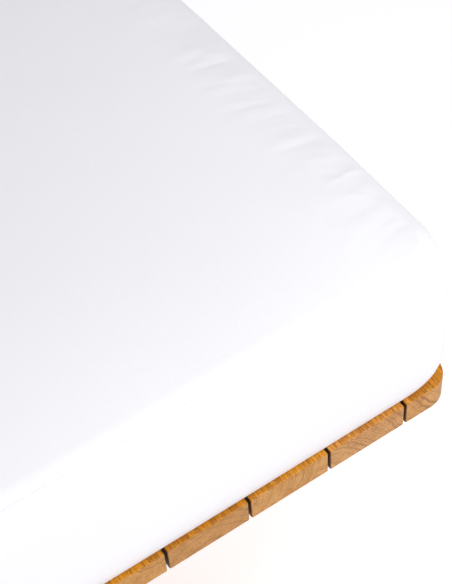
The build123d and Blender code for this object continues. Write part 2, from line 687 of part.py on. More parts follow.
# ---- headed peg on the right front rail that the hook catches when folded
peg_z = 2 * HINGE_Z - LATCH_Z + LATCH_ARM
with BuildPart() as latch_peg:
    with BuildSketch(Plane.XZ.offset(RAIL_OUT - 13)):
        with Locations((-LATCH_X, peg_z)):
            Circle(PEG_R)
    extrude(amount=18.5)
    with BuildSketch(Plane.XZ.offset(RAIL_OUT + 5.5)):
        with Locations((-LATCH_X, peg_z)):
            Circle(5.5)
    extrude(amount=3.0)
    fillet(latch_peg.faces().sort_by(Axis.Y)[0].edges(), 1.5)
save(latch_peg, "latch_peg")
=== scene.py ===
import math

import bpy
import bmesh
import numpy as np
from mathutils import Matrix, Vector


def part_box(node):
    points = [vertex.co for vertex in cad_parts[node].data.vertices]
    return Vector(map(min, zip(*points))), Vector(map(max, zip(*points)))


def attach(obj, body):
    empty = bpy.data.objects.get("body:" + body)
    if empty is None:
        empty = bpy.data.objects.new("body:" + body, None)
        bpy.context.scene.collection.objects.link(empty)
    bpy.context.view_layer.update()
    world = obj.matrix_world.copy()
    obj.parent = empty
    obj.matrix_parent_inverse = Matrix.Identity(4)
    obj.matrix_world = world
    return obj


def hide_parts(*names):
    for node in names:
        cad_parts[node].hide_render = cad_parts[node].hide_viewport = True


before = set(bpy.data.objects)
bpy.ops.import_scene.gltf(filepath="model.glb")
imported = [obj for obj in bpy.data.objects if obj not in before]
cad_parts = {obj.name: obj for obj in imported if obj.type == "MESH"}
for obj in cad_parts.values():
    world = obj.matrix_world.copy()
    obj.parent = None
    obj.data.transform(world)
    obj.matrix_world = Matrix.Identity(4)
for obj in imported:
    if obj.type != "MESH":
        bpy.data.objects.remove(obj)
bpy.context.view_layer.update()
scene = bpy.context.scene

# ------------------------------------------------------------------ camera
# A close view down on the corner at the right half's end, on the front side.
CORNER = Vector((0.900, -0.350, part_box("right_end_slat")[1].z))
AZ, EL, ROLL = math.radians(30.15), math.radians(49.62), math.radians(-5.1)
UNIT = 0.0006
right = Vector((math.cos(AZ), -math.sin(AZ), 0))
ahead = Vector((math.sin(AZ), math.cos(AZ), 0))
forward = ahead * math.cos(EL) - Vector((0, 0, 1)) * math.sin(EL)
up = ahead * math.sin(EL) + Vector((0, 0, 1)) * math.cos(EL)
c, s = math.cos(ROLL), math.sin(ROLL)
right_r, up_r = right * c + up * s, up * c - right * s
place = CORNER - (right_r * 189.3 + up_r * -119.9 + forward * 1473.9) * UNIT
camera = bpy.data.objects.new("camera", bpy.data.cameras.new("camera"))
scene.collection.objects.link(camera)
camera.matrix_world = Matrix(
    (
        (right_r.x, up_r.x, -forward.x, place.x),
        (right_r.y, up_r.y, -forward.y, place.y),
        (right_r.z, up_r.z, -forward.z, place.z),
        (0, 0, 0, 1),
    )
)
camera.data.sensor_width = 36
camera.data.lens = 1400 / 584 * 36
camera.data.clip_start, camera.data.clip_end = 0.02, 60
scene.camera = camera


# ------------------------------------------------------------------ node helpers
class Mat:
    """A small builder for one node material."""

    def __init__(self, name):
        self.mat = bpy.data.materials.new(name)
        self.mat.use_nodes = True
        self.t = self.mat.node_tree
        self.bsdf = self.t.nodes["Principled BSDF"]

    def node(self, kind, **props):
        n = self.t.nodes.new(kind)
        for k, v in props.items():
            setattr(n, k, v)
        return n

    def link(self, a, b):
        self.t.links.new(a, b)

    def put(self, socket, value):
        if isinstance(value, bpy.types.NodeSocket):
            self.link(value, socket)
        else:
            socket.default_value = value

    def math(self, op, a, b=0.0, c=0.0, clamp=False):
        n = self.node("ShaderNodeMath", operation=op, use_clamp=clamp)
        self.put(n.inputs[0], a)
        self.put(n.inputs[1], b)
        if op in ("MULTIPLY_ADD", "SMOOTH_MIN", "SMOOTH_MAX", "WRAP", "COMPARE"):
            self.put(n.inputs[2], c)
        return n.outputs[0]

    def coords(self):
        n = self.node("ShaderNodeTexCoord")
        return n.outputs["Object"], n.outputs["Normal"]

    def split(self, vector):
        n = self.node("ShaderNodeSeparateXYZ")
        self.link(vector, n.inputs[0])
        return n.outputs[0], n.outputs[1], n.outputs[2]

    def join(self, x, y, z):
        n = self.node("ShaderNodeCombineXYZ")
        for i, v in enumerate((x, y, z)):
            self.put(n.inputs[i], v)
        return n.outputs[0]

    def scaled(self, vector, x, y, z):
        n = self.node("ShaderNodeVectorMath", operation="MULTIPLY")
        self.link(vector, n.inputs[0])
        n.inputs[1].default_value = (x, y, z)
        return n.outputs[0]

    def noise(self, vector, scale=1.0, detail=2.0, rough=0.5, distortion=0.0, dims="3D", w=None):
        n = self.node("ShaderNodeTexNoise", noise_dimensions=dims)
        if vector is not None and dims != "1D":
            self.link(vector, n.inputs["Vector"])
        if w is not None:
            self.put(n.inputs["W"], w)
        n.inputs["Scale"].default_value = scale
        n.inputs["Detail"].default_value = detail
        n.inputs["Roughness"].default_value = rough
        n.inputs["Distortion"].default_value = distortion
        return n.outputs["Fac"]

    def random(self, value):
        n = self.node("ShaderNodeTexWhiteNoise", noise_dimensions="1D")
        self.put(n.inputs["W"], value)
        return self.split(n.outputs["Color"])

    def ramp(self, fac, stops, interpolation="LINEAR"):
        n = self.node("ShaderNodeValToRGB")
        n.color_ramp.interpolation = interpolation
        while len(n.color_ramp.elements) < len(stops):
            n.color_ramp.elements.new(0.5)
        for e, (at, colour) in zip(n.color_ramp.elements, stops):
            e.position = at
            e.color = (*colour, 1)
        self.put(n.inputs[0], fac)
        return n.outputs[0]

    def mix(self, fac, a, b, blend="MIX"):
        n = self.node("ShaderNodeMix", data_type="RGBA", blend_type=blend)
        self.put(n.inputs[0], fac)
        for socket, v in ((n.inputs[6], a), (n.inputs[7], b)):
            if isinstance(v, bpy.types.NodeSocket):
                self.link(v, socket)
            else:
                socket.default_value = (*v, 1)
        return n.outputs[2]

    def map(self, value, a, b, c, d, smooth=False):
        n = self.node("ShaderNodeMapRange", clamp=True)
        if smooth:
            n.interpolation_type = "SMOOTHSTEP"
        self.put(n.inputs[0], value)
        for i, v in enumerate((a, b, c, d)):
            n.inputs[i + 1].default_value = v
        return n.outputs[0]

    def bump(self, height, strength, distance, normal=None):
        n = self.node("ShaderNodeBump")
        n.inputs["Strength"].default_value = strength
        n.inputs["Distance"].default_value = distance
        self.link(height, n.inputs["Height"])
        if normal is not None:
            self.link(normal, n.inputs["Normal"])
        return n.outputs[0]


# ------------------------------------------------------------------ materials
def wood(name, along, faces, ends, dark, plank=None, seed=0.0, ring=0.0023, low=0.0, zpith=0.0, chosen=None):
    """Hardwood as a solid texture: growth rings about a pith that runs along one axis,
    so end faces show arcs and long faces show grain. Planks across X differ from each other;
    chosen gives the pith's place and the tone of single planks by number."""
    m = Mat(name)
    obj, nrm = m.coords()
    x, y, z = m.split(obj)
    if along == "x":
        l, u, v = x, y, z
    elif along == "y":
        l, u, v = y, x, z
    else:
        l, u, v = z, x, y
    nx, ny, nz = m.split(nrm)
    end_mask = m.math("ABSOLUTE", {"x": nx, "y": ny, "z": nz}[along])
    end_mask = m.map(end_mask, 0.50, 0.85, 0.0, 1.0, smooth=True)
    gap_shade = None
    if plank:
        k = m.math("FLOOR", m.math("DIVIDE", u, plank))
        key = m.math("MULTIPLY_ADD", k, 1.37, seed + 3.1)
        r1, r2, r3 = m.random(key)
        q1, q2, q3 = m.random(m.math("ADD", key, 57.3))
        u = m.math("SUBTRACT", u, m.math("MULTIPLY", m.math("ADD", k, 0.5), plank))
        v = m.math("SUBTRACT", v, low)
        # the side walls of the narrow gaps between planks get painted shade, near black
        gap_shade = m.math("MULTIPLY", m.map(m.math("ABSOLUTE", nx), 0.35, 0.85, 0, 1), m.math("LESS_THAN", m.math("ABSOLUTE", x), 0.93))
    else:
        r1, r2, r3 = m.random(seed + 0.71)
        q1, q2, q3 = m.random(seed + 5.3)
    # where the pith of the log lay, beyond the board
    pu = m.map(r1, 0, 1, -0.050, 0.050)
    side = m.math("GREATER_THAN", q1, 0.45)
    pv = m.math("MULTIPLY", m.map(r2, 0, 1, 0.010, 0.050), m.math("MULTIPLY_ADD", side, -2.0, 1.0))
    if zpith:
        pv = m.math("ADD", pv, zpith)
    hue, sat, val = m.map(q2, 0, 1, 0.493, 0.504), m.map(q3, 0, 1, 0.94, 1.06), m.map(r1, 0, 1, 0.90, 1.06)
    for number, (pu_k, pv_k, hue_k, sat_k, val_k) in (chosen or {}).items():
        here = m.math("COMPARE", k, float(number), 0.5)
        rest = m.math("SUBTRACT", 1.0, here)
        pu, pv, hue, sat, val = (
            m.math("ADD", m.math("MULTIPLY", old, rest), m.math("MULTIPLY", here, new))
            for old, new in ((pu, pu_k), (pv, pv_k), (hue, hue_k), (sat, sat_k), (val, val_k))
        )
    du, dv = m.math("SUBTRACT", u, pu), m.math("SUBTRACT", v, pv)
    shift = m.math("MULTIPLY", r3, 7.0)
    wob_at = m.join(m.math("MULTIPLY", du, 42.0), m.math("MULTIPLY", dv, 42.0), m.math("MULTIPLY_ADD", l, 2.2, shift))
    wobble = m.math("MULTIPLY", m.math("SUBTRACT", m.noise(wob_at, 1.0, 2.0, 0.5), 0.5), 0.010)
    radius = m.math("ADD", m.math("SQRT", m.math("ADD", m.math("MULTIPLY", du, du), m.math("MULTIPLY", dv, dv))), wobble)
    uneven = m.math("MULTIPLY", m.noise(None, 1.0, 1.0, 0.5, dims="1D", w=m.math("MULTIPLY_ADD", radius, 260.0, shift)), 0.0042)
    turns = m.math("DIVIDE", m.math("ADD", radius, uneven), ring)
    whole = m.math("FLOOR", turns)
    part = m.math("SUBTRACT", turns, whole)
    vary, _, _ = m.random(m.math("ADD", whole, m.math("MULTIPLY", r3, 31.0)))
    late = m.math("MULTIPLY", m.map(part, 0.20, 0.82, 0, 1, smooth=True), m.map(part, 0.82, 1.0, 1, 0))
    late = m.math("MULTIPLY", late, m.map(vary, 0.25, 1.0, 0.10, 1.0))
    # pores: short dark dashes along the grain, dots where they are cut across
    fine_at = m.join(m.math("MULTIPLY", u, 1500.0), m.math("MULTIPLY", v, 1500.0), m.math("MULTIPLY_ADD", l, 120.0, shift))
    pores = m.map(m.noise(fine_at, 1.0, 1.0, 0.5), 0.52, 0.70, 0, 1)
    streak_at = m.join(m.math("MULTIPLY", u, 780.0), m.math("MULTIPLY", v, 780.0), m.math("MULTIPLY_ADD", l, 16.0, shift))
    streaks = m.noise(streak_at, 1.0, 3.0, 0.60)
    band_at = m.join(m.math("MULTIPLY", u, 150.0), m.math("MULTIPLY", v, 150.0), m.math("MULTIPLY_ADD", l, 5.0, shift))
    bands = m.noise(band_at, 1.0, 2.0, 0.5)
    broad_at = m.join(m.math("MULTIPLY", u, 95.0), m.math("MULTIPLY", v, 95.0), m.math("MULTIPLY_ADD", l, 1.6, shift))
    broad = m.noise(broad_at, 1.0, 2.0, 0.5)
    # rays: thin light flecks that fan out from the pith on end faces
    angle = m.math("ARCTAN2", dv, du)
    rays = m.noise(m.join(m.math("MULTIPLY", angle, 95.0), m.math("MULTIPLY", radius, 60.0), shift), 1.0, 1.0, 0.5)
    # painted highlight: thin light streaks along the grain on long faces stand in for glints
    painted_glint = m.map(m.noise(m.join(m.math("MULTIPLY", u, 800.0), m.math("MULTIPLY", v, 800.0), m.math("MULTIPLY_ADD", l, 240.0, shift)), 1.0, 1.0), 0.66, 0.76, 0, 1)
    face_c = m.mix(m.map(streaks, 0.35, 0.64, 0, 1), faces[0], faces[1])
    face_c = m.mix(m.math("MULTIPLY", m.map(bands, 0.45, 0.72, 0, 1), 0.30), face_c, dark)
    face_c = m.mix(m.math("MULTIPLY", pores, 0.72), face_c, dark)
    face_c = m.mix(m.math("MULTIPLY", late, 0.16), face_c, dark)
    face_c = m.mix(m.math("MULTIPLY", painted_glint, 0.75), face_c, faces[2])
    end_c = m.mix(m.map(broad, 0.32, 0.68, 0, 1), ends[0], ends[1])
    mottle = m.noise(m.join(m.math("MULTIPLY", u, 360.0), m.math("MULTIPLY", v, 360.0), shift), 1.0, 3.0, 0.65)
    end_c = m.mix(m.math("MULTIPLY", m.map(mottle, 0.48, 0.70, 0, 1), 0.42), end_c, ends[3])
    end_c = m.mix(m.math("MULTIPLY", m.map(rays, 0.5, 0.72, 0, 1), 0.50), end_c, ends[2])
    end_c = m.mix(m.math("MULTIPLY", late, 0.72), end_c, ends[3])
    end_c = m.mix(m.math("MULTIPLY", pores, 0.42), end_c, ends[3])
    colour = m.mix(end_mask, face_c, end_c)
    if gap_shade is not None:
        # painted shade, near black, on the walls of the gaps between planks
        colour = m.mix(m.math("MULTIPLY", gap_shade, 0.85), colour, (0.030, 0.009, 0.003))
    # each board a little redder or paler than the next
    tone = m.node("ShaderNodeHueSaturation")
    m.put(tone.inputs["Hue"], hue)
    m.put(tone.inputs["Saturation"], sat)
    m.put(tone.inputs["Value"], val)
    tone.inputs["Fac"].default_value = 1.0
    m.link(colour, tone.inputs["Color"])
    m.link(tone.outputs[0], m.bsdf.inputs["Base Color"])
    rough = m.math("ADD", m.map(streaks, 0.3, 0.7, 0.38, 0.50), m.math("MULTIPLY", pores, 0.14))
    rough = m.math("ADD", rough, m.math("MULTIPLY", end_mask, 0.10))
    m.link(rough, m.bsdf.inputs["Roughness"])
    m.bsdf.inputs["Specular IOR Level"].default_value = 0.30
    m.bsdf.inputs["Coat Weight"].default_value = 0.05
    m.bsdf.inputs["Coat Roughness"].default_value = 0.25
    relief = m.math("ADD", m.math("MULTIPLY", pores, -0.8), m.math("MULTIPLY", late, 0.5))
    relief = m.math("ADD", relief, m.math("MULTIPLY", streaks, 0.4))
    m.link(m.bump(relief, 0.35, 0.00022), m.bsdf.inputs["Normal"])
    return m.mat


def cotton(name, shade_tint=1.0):
    """Bleached plain weave; a tint below 1 darkens the colour as painted shade, for the cloth down in a seam's groove.
    """
    m = Mat(name)
    obj, nrm = m.coords()
    x, y, z = m.split(obj)
    soft = m.noise(obj, 9.0, 3.0, 0.5)
    slub = m.noise(m.scaled(obj, 620, 620, 620), 1.0, 2.0, 0.6)
    low, high, slub_c = (tuple(v * shade_tint for v in c) for c in ((0.853, 0.851, 0.878), (0.867, 0.865, 0.890), (0.890, 0.888, 0.910)))
    base = m.mix(m.map(soft, 0.35, 0.65, 0, 1), low, high)
    base = m.mix(m.math("MULTIPLY", m.map(slub, 0.38, 0.66, 0, 1), 0.50), base, slub_c)
    m.link(base, m.bsdf.inputs["Base Color"])
    m.link(m.map(slub, 0.3, 0.7, 0.80, 0.92), m.bsdf.inputs["Roughness"])
    m.bsdf.inputs["Sheen Weight"].default_value = 0.12
    m.bsdf.inputs["Sheen Roughness"].default_value = 0.45
    m.bsdf.inputs["Specular IOR Level"].default_value = 0.22
    # plain weave: two crossed sets of threads, laid on whichever way the cloth faces
    pitch = 2 * math.pi / 0.00062
    sx, sy, sz = (m.math("SINE", m.math("MULTIPLY", v, pitch)) for v in (x, y, z))
    nx, ny, nz = (m.math("ABSOLUTE", v) for v in m.split(nrm))
    top, front, end = (m.math("MULTIPLY", a, b) for a, b in ((sx, sy), (sx, sz), (sy, sz)))
    weave = m.math("ADD", m.math("MULTIPLY", top, nz), m.math("ADD", m.math("MULTIPLY", front, ny), m.math("MULTIPLY", end, nx)))
    fibre = m.noise(m.scaled(obj, 900, 900, 900), 1.0, 2.0, 0.6)
    height = m.math("ADD", m.math("MULTIPLY", weave, 0.25), m.math("MULTIPLY", fibre, 0.8))
    first = m.bump(height, 0.10, 0.00012)
    rumple = m.noise(m.scaled(obj, 22, 22, 22), 1.0, 3.0, 0.5, 0.4)
    m.link(m.bump(rumple, 0.10, 0.004, first), m.bsdf.inputs["Normal"])
    return m.mat


def foam(name):
    m = Mat(name)
    obj, _ = m.coords()
    cells = m.node("ShaderNodeTexVoronoi", feature="DISTANCE_TO_EDGE")
    m.link(m.scaled(obj, 900, 900, 900), cells.inputs["Vector"])
    d = cells.outputs["Distance"]
    tone = m.noise(obj, 6.0, 2.0)
    base = m.mix(tone, (0.80, 0.74, 0.55), (0.86, 0.81, 0.64))
    base = m.mix(m.map(d, 0, 0.2, 0.5, 0), base, (0.55, 0.48, 0.32))
    m.link(base, m.bsdf.inputs["Base Color"])
    m.bsdf.inputs["Roughness"].default_value = 0.95
    m.link(m.bump(d, 0.5, 0.0006), m.bsdf.inputs["Normal"])
    return m.mat


def steel(name, light, dark, rough, along="x"):
    """Zinc plate or brushed metal: fine drawn lines, faint mottling."""
    m = Mat(name)
    obj, _ = m.coords()
    stretch = {"x": (40, 1400, 1400), "y": (1400, 40, 1400), "z": (1400, 1400, 40)}[along]
    lines = m.noise(m.scaled(obj, *stretch), 1.0, 2.0)
    blotch = m.noise(obj, 70.0, 3.0, 0.6)
    base = m.mix(m.map(blotch, 0.35, 0.65, 0, 1), dark, light)
    m.link(base, m.bsdf.inputs["Base Color"])
    m.bsdf.inputs["Metallic"].default_value = 1.0
    r = m.math("ADD", m.map(blotch, 0.3, 0.7, rough - 0.05, rough + 0.08), m.math("MULTIPLY", lines, 0.08))
    m.link(r, m.bsdf.inputs["Roughness"])
    m.link(m.bump(lines, 0.18, 0.00008), m.bsdf.inputs["Normal"])
    return m.mat


def powder(name, colour, rough, grain=900.0, depth=0.00010, metal=0.0):
    """Powder coat or moulded plastic: orange-peel grain, slightly worn tone."""
    m = Mat(name)
    obj, _ = m.coords()
    peel = m.noise(m.scaled(obj, grain, grain, grain), 1.0, 2.0)
    wear = m.noise(obj, 38.0, 4.0, 0.65)
    pale = tuple(min(1.0, v * 1.9 + 0.012) for v in colour)
    m.link(m.mix(m.map(wear, 0.52, 0.78, 0, 0.55), colour, pale), m.bsdf.inputs["Base Color"])
    m.link(m.map(wear, 0.35, 0.75, rough - 0.06, rough + 0.12), m.bsdf.inputs["Roughness"])
    m.bsdf.inputs["Metallic"].default_value = metal
    m.link(m.bump(peel, 0.35, depth), m.bsdf.inputs["Normal"])
    return m.mat


def loops(name):
    m = Mat(name)
    obj, _ = m.coords()
    fuzz = m.noise(m.scaled(obj, 1500, 1500, 1500), 1.0, 3.0, 0.7)
    m.link(m.mix(fuzz, (0.02, 0.02, 0.022), (0.075, 0.075, 0.08)), m.bsdf.inputs["Base Color"])
    m.bsdf.inputs["Roughness"].default_value = 0.95
    m.link(m.bump(fuzz, 0.8, 0.0006), m.bsdf.inputs["Normal"])
    return m.mat


# the third tone in FACE and RAIL is the colour of the painted highlight streaks on long faces
FACE = ((0.38, 0.130, 0.011), (0.72, 0.305, 0.042), (0.95, 0.62, 0.20))
END = ((0.50, 0.232, 0.061), (0.61, 0.305, 0.098), (0.75, 0.435, 0.178), (0.20, 0.064, 0.010))
DARK = (0.17, 0.045, 0.004)
RAIL = ((0.44, 0.185, 0.028), (0.72, 0.360, 0.085), (0.90, 0.60, 0.22))
RAIL_DARK = (0.25, 0.085, 0.012)
deck_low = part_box("right_deck_slats")[0].z
CHOSEN = {
    12: (-0.004, -0.034, 0.500, 1.05, 0.90),
    13: (-0.033, 0.010, 0.502, 1.04, 1.03),
    14: (-0.038, -0.026, 0.500, 1.00, 1.02),
    15: (0.022, 0.030, 0.501, 1.03, 1.03),
}
slats_mat = wood("deck_hardwood_planks", "y", FACE, END, DARK, plank=0.060, low=deck_low + 0.010, chosen=CHOSEN)
frame_x = wood("frame_hardwood_long", "x", RAIL, END, RAIL_DARK, seed=11.0, zpith=0.36)
frame_y = wood("frame_hardwood_cross", "y", RAIL, END, RAIL_DARK, seed=23.0, zpith=0.36)
leg_z = wood("leg_hardwood_upright", "z", RAIL, END, RAIL_DARK, seed=37.0)
leg_y = wood("leg_hardwood_cross", "y", RAIL, END, RAIL_DARK, seed=41.0, zpith=0.30)
cotton_mat = cotton("white_cotton")
# the darker cotton is painted shade for the seam's groove
seam_shade_mat = cotton("white_cotton_seam_shade", 0.93)
foam_mat = foam("open_cell_foam")
zinc = steel("zinc_plate", (0.66, 0.66, 0.64), (0.50, 0.50, 0.49), 0.30)
brass = steel("brushed_brass", (0.78, 0.58, 0.28), (0.62, 0.44, 0.19), 0.30, along="y")
black_steel = powder("black_powder_coat", (0.030, 0.030, 0.033), 0.45, metal=0.0)
knob_plastic = powder("moulded_black_plastic", (0.022, 0.022, 0.025), 0.42, grain=1600.0, depth=0.00006)
rubber = powder("foot_rubber", (0.028, 0.027, 0.026), 0.72, grain=700.0, depth=0.00012)
loop_mat = loops("hook_and_loop")

by_name = [
    ("deck_slats", slats_mat), ("end_slat", slats_mat), ("front_rail", frame_x), ("back_rail", frame_x),
    ("end_rail", frame_y), ("centre_rail", frame_y), ("leg_posts", leg_z), ("leg_extension", leg_z),
    ("leg_crossbar", leg_y), ("socket_bushes", zinc), ("wood_screws", zinc), ("frame_bolts", black_steel),
    ("pivot_bolts", black_steel), ("clamp_bolts", zinc), ("hinge_leaves", brass), ("hinge_pins", zinc),
    ("braces", black_steel), ("brace_rivets", zinc), ("carry_handle", black_steel), ("handle_brackets", black_steel),
    ("knob", knob_plastic), ("foot", rubber), ("latch", zinc), ("pad_grip_strips", loop_mat),
    ("foam_pad", foam_mat), ("fitted_cover", cotton_mat),
]
for name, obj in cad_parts.items():
    mat = next(mt for key, mt in by_name if key in name)
    obj.data.materials.clear()
    obj.data.materials.append(mat)


# ------------------------------------------------------------------ soft pieces
def side_points(a, b, ra, rb, ts):
    """Points and outward normals along one side of a rounded outline, from corner a to b,
    each end taking half of its corner's arc. a, b: corner points; ts: 0..1 by length."""
    a, b = np.array(a, float), np.array(b, float)
    d = (b - a) / np.linalg.norm(b - a)
    n = np.array((d[1], -d[0]))
    length = np.linalg.norm(b - a)
    la, lb = ra * math.pi / 4, rb * math.pi / 4
    total = la + (length - ra - rb) + lb
    pts, nrm = [], []
    for t in ts:
        q = t * total
        if q < la:
            ang = (la - q) / ra
            centre = a + d * ra - n * ra
            nn = n * math.cos(ang) - d * math.sin(ang)
            pts.append(centre + nn * ra)
        elif q > total - lb:
            ang = (q - (total - lb)) / rb
            centre = b - d * rb - n * rb
            nn = n * math.cos(ang) + d * math.sin(ang)
            pts.append(centre + nn * rb)
        else:
            nn = n
            pts.append(a + d * (ra + q - la))
        nrm.append(nn)
    return np.array(pts), np.array(nrm)


def graded(n, fine_share, fine_length):
    """n + 1 values from 0 to 1, with fine_share of the steps in the last fine_length."""
    k = int(n * fine_share)
    return np.concatenate([np.linspace(0, 1 - fine_length, n - k + 1)[:-1], np.linspace(1 - fine_length, 1, k + 1)])


def noise2(seed, n=14, low=3.0, high=11.0):
    """A smooth seeded field over the table's plan: a sum of a few waves."""
    g = np.random.default_rng(seed)
    k = g.uniform(low, high, n)
    a = g.uniform(0, 2 * math.pi, n)
    p = g.uniform(0, 2 * math.pi, n)

    def f(x, y):
        out = np.zeros(np.shape(x))
        for i in range(n):
            out = out + np.sin(2 * math.pi * k[i] * (x * math.cos(a[i]) + y * math.sin(a[i])) + p[i])
        return out / math.sqrt(n)

    return f


CREASES = [
    # from x, y to x, y on the right half's top; width; height (negative for a groove)
    (0.8950, -0.1270, 0.9240, -0.1279, 0.0014, -0.00036), (0.9120, -0.1186, 0.9280, -0.1204, 0.0024, 0.00031),
    (0.8860, -0.1435, 0.9110, -0.1500, 0.0018, -0.00025), (0.8900, -0.1738, 0.9230, -0.1785, 0.0014, -0.00037),
    (0.8970, -0.1588, 0.9220, -0.1651, 0.0017, -0.00028), (0.8960, -0.2220, 0.9280, -0.2222, 0.0014, -0.00037),
    (0.9180, -0.2300, 0.9300, -0.2352, 0.0024, 0.00042), (0.9170, -0.2578, 0.9330, -0.2592, 0.0018, 0.00062),
    (0.9060, -0.2512, 0.9190, -0.2582, 0.0017, -0.00031), (0.9030, -0.2616, 0.9170, -0.2592, 0.0018, 0.00025),
    (0.9120, -0.2660, 0.9260, -0.2845, 0.0018, -0.00025), (0.9100, -0.3008, 0.9240, -0.3022, 0.0026, -0.00035),
    (0.8940, -0.1184, 0.9130, -0.1158, 0.0017, -0.00028), (0.9110, -0.2028, 0.9270, -0.2110, 0.0017, -0.00028),
    (0.8960, -0.1893, 0.9250, -0.1912, 0.0018, -0.00022), (0.8845, -0.3040, 0.8880, -0.3088, 0.0012, 0.00022),
]


def smooth(v, lo, hi):
    q = np.clip((v - lo) / (hi - lo), 0, 1)
    return q * q * (3 - 2 * q)


def tuck_weight(P, corners, reach):
    w = np.zeros(len(P))
    for cx, cy in corners:
        w = np.maximum(w, np.exp(-((P[:, 0] - cx) ** 2 + (P[:, 1] - cy) ** 2) / reach**2))
    return w


def pad_shape(side, cloth, tx, ty, inset, seed, creases):
    """Outline rings and a top grid that share their columns, as one quad mesh."""
    sgn = 1 if side == "right" else -1
    nx, ny = len(tx) - 1, len(ty) - 1
    low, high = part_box(f"{side}_fitted_cover")
    x0, x1 = (low.x, high.x) if sgn > 0 else (-high.x, -low.x)
    x0, x1 = x0 + inset, x1 - inset
    y0, y1 = low.y + inset, high.y - inset
    zb, zt = low.z, high.z
    if not cloth:
        zb, zt = zb + inset, zt - inset
    r_top = 0.0165 - (0 if cloth else inset)
    txr, tyr = 1 - tx[::-1], 1 - ty[::-1]

    def outline(ra, rb):
        runs = [
            side_points((x0, y0), (x1, y0), ra, rb, tx[:-1]),
            side_points((x1, y0), (x1, y1), rb, rb, ty[:-1]),
            side_points((x1, y1), (x0, y1), rb, ra, txr[:-1]),
            side_points((x0, y1), (x0, y0), ra, ra, tyr[:-1]),
        ]
        return np.concatenate([r[0] for r in runs]), np.concatenate([r[1] for r in runs])

    # the upright corners are tight low down and soften towards the top
    P_low, N_low = outline(0.016 - inset, 0.0137 - inset)
    P_top, N_top = outline(0.022 - inset, 0.030 - inset)
    m = len(P_low)

    def ring_base(z):
        w = smooth(z, zb + 0.062, zt - 0.006)
        P, N = P_low * (1 - w) + P_top * w, N_low * (1 - w) + N_top * w
        return P, N / np.linalg.norm(N, axis=1)[:, None]

    # how near each column is to an upright corner: 1 at it, 0 on the straights
    corner, near = np.zeros(m), np.zeros(m)
    for cx, cy in ((x0, y0), (x1, y0), (x1, y1), (x0, y1)):
        d2 = (P_low[:, 0] - cx) ** 2 + (P_low[:, 1] - cy) ** 2
        corner = np.maximum(corner, np.exp(-d2 / 0.018**2))
        near = np.maximum(near, np.exp(-d2 / 0.034**2))
    # the long free sides bow out a little between their corners
    bow_y = smooth(0.318 - np.abs(P_low[:, 1]), 0.0, 0.11) * smooth(P_low[:, 0], x1 - 0.004, x1 - 0.001) * 0.0016
    bow_x = smooth(np.minimum(P_low[:, 0] - x0, x1 - P_low[:, 0]), 0.03, 0.16) * smooth(np.abs(P_low[:, 1]), y1 - 0.004, y1 - 0.001) * 0.0004
    bow = bow_y + bow_x
    H = zt - zb
    rings = []  # (inset or angle, height, tag)
    if cloth:
        for d in (0.031, 0.024, 0.013):
            rings.append((d, 0.0005, "hem"))
        for a in (0, 22, 45, 67, 90):
            rings.append((a, 0.0, "foot"))
        for h in np.linspace(0.012, H - r_top, 12)[1:-1]:
            rings.append((0.0, h, "wall"))
        for a in (0, 10, 20, 29, 35, 38.5, 41, 43, 44.3, 45.6, 47, 49, 52, 58, 66, 74):
            rings.append((a, 0.0, "top"))
    else:
        for d in (0.30, 0.24, 0.18, 0.12, 0.06, 0.03):
            rings.append((d, 0.0, "under"))
        for a in (0, 30, 60, 90):
            rings.append((a, 0.0, "foot"))
        for h in np.linspace(0.014, H - r_top, 9)[1:-1]:
            rings.append((0.0, h, "wall"))
        for a in (0, 20, 40, 60):
            rings.append((a, 0.0, "top"))
    drift = noise2(seed, 10, 1.5, 6.0)
    fine = noise2(seed + 1, 16, 8.0, 24.0)
    arc = np.cumsum(np.linalg.norm(np.diff(P_low, axis=0, append=P_low[:1]), axis=1))
    wave = np.zeros(m)
    g = np.random.default_rng(seed + 2)
    around = arc[-1]
    for k in range(10):
        turns = int(g.integers(8, 60))
        wave += g.uniform(0.2, 1.0) / (1 + turns / 20) * np.sin(2 * math.pi * turns * arc / around + g.uniform(0, 6.28))
    layers = []
    # the cloth is drawn in under the pad, furthest at the corners
    tuck = tuck_weight(P_low, ((x0, y0), (x1, y0), (x1, y1), (x0, y1)), 0.0165)
    foot_w, foot_h = (0.0006 + 0.0240 * tuck, 0.0006 + 0.0180 * tuck) if cloth else (0.006 + 0.021 * tuck, 0.006 + 0.015 * tuck)
    for value, h, tag in rings:
        if tag in ("hem", "under"):
            P, N = ring_base(zb)
            gather = 0.0012 * np.sin(2 * math.pi * arc / 0.019) * (value > 0.03) if tag == "hem" else 0
            out = -(value + gather) + bow * 0
            z = np.full(m, zb + h)
        elif tag == "foot":
            ang = math.radians(value)
            z = zb + (0.0005 if cloth else 0.0) + foot_h * (1 - math.cos(ang))
            P, N = ring_base(zb)
            out = -foot_w * (1 - math.sin(ang)) + bow * math.sin(ang)
        elif tag == "wall":
            share = h / H
            bulge = math.sin(math.pi * min(1.0, share * 1.05)) ** 0.8
            P, N = ring_base(zb + h)
            out = bow + 0.0010 * bulge * (1 - corner) + 0.00030 * wave * bulge
            # the corner stands fullest just above the deck
            out = out + 0.0007 * corner * math.exp(-(((h - 0.022) / 0.020) ** 2))
            if cloth:
